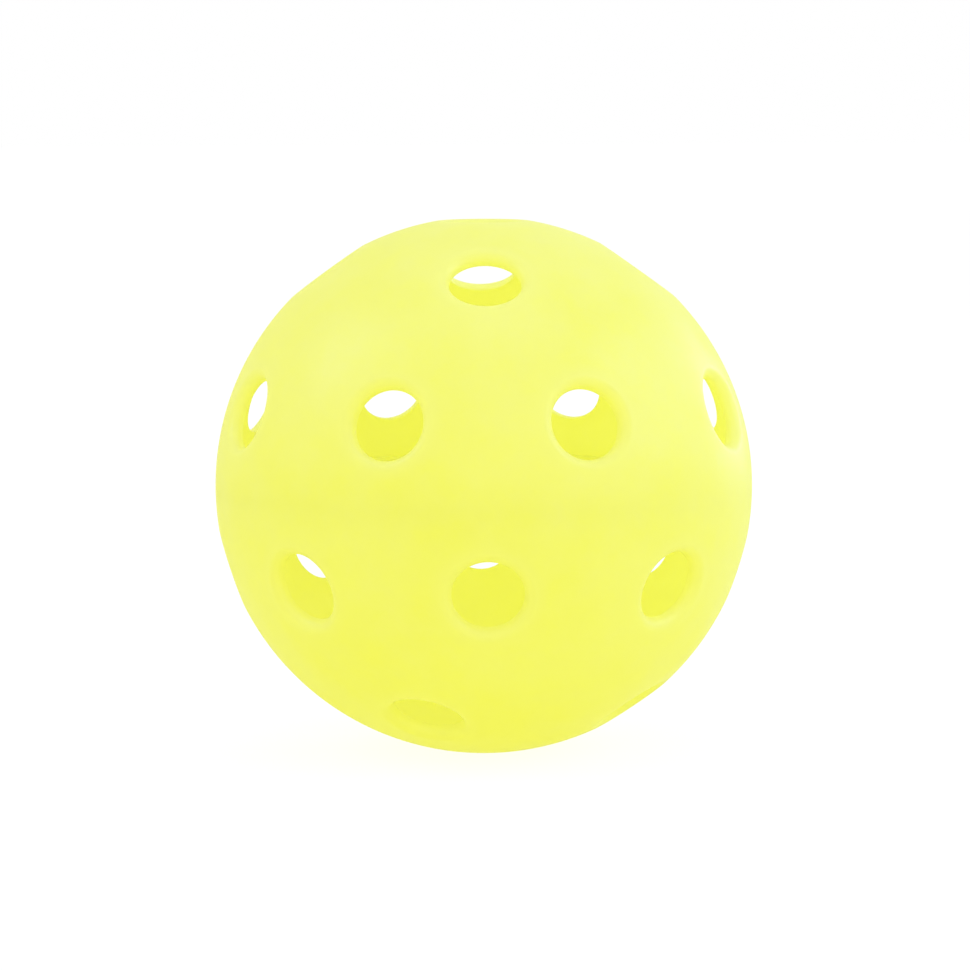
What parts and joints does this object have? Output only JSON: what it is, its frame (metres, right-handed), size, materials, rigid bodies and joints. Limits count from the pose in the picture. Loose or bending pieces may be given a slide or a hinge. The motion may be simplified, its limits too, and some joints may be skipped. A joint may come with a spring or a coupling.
{
  "type": "floorball ball",
  "caption": "Hollow floorball ball: two perforated plastic half shells welded at the equator, with round holes that have rounded rims.",
  "frame": {"origin": "centre of the ball", "axes": "+Z along the pole axis, square to the weld and through the holes at both poles; a hole of the upper pole ring faces -Y"},
  "size_m": [0.072, 0.072, 0.071],
  "materials": {
    "yellow_plastic": "satin"
  },
  "bodies": {
    "root": {"upper_half_shell": "yellow_plastic", "lower_half_shell": "yellow_plastic", "weld_bead": "yellow_plastic"}
  },
  "joints": []
}
